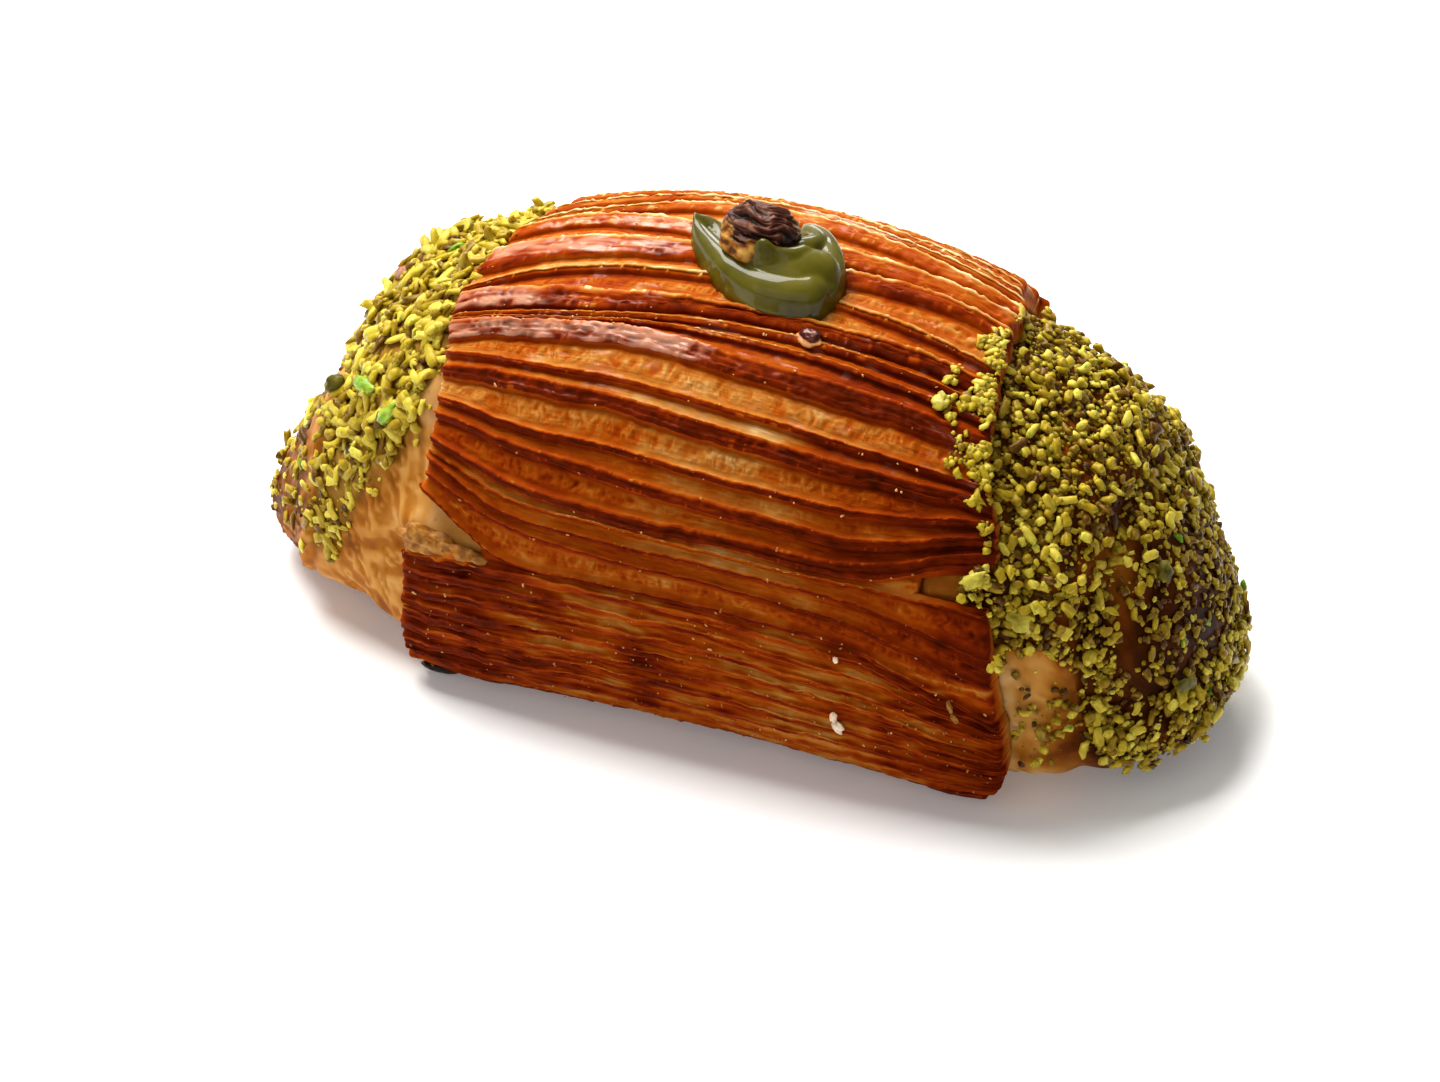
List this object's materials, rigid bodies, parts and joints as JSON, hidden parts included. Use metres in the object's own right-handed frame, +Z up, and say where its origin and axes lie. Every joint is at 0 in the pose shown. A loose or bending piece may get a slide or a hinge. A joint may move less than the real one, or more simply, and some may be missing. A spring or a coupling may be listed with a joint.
{
  "type": "danish pastry",
  "caption": "Filled laminated pastry: a tapered roll with nut-strewn horns, a ribbed wrap round its middle, and a dollop of pistachio cream with a roasted nut on top.",
  "frame": {"origin": "on the ground, at the middle of the bounding box", "axes": "+X along the roll to the horn with the denser nuts, -Y to the front, +Z up"},
  "size_m": [0.1498, 0.0762, 0.075],
  "materials": {
    "dough": "baked golden dough under a thin glaze, with chopped green pistachio",
    "crust": "baked cut lamination, brown glazed ridges with pale recesses",
    "cream": "smooth glossy olive-green nut cream",
    "nut": "roasted kernel, wrinkled brown skin over cream-yellow flesh"
  },
  "bodies": {
    "root": {"dough_roll": "dough", "laminated_wrap": "crust", "pistachio_cream": "cream", "roasted_nut": "nut"}
  },
  "joints": []
}
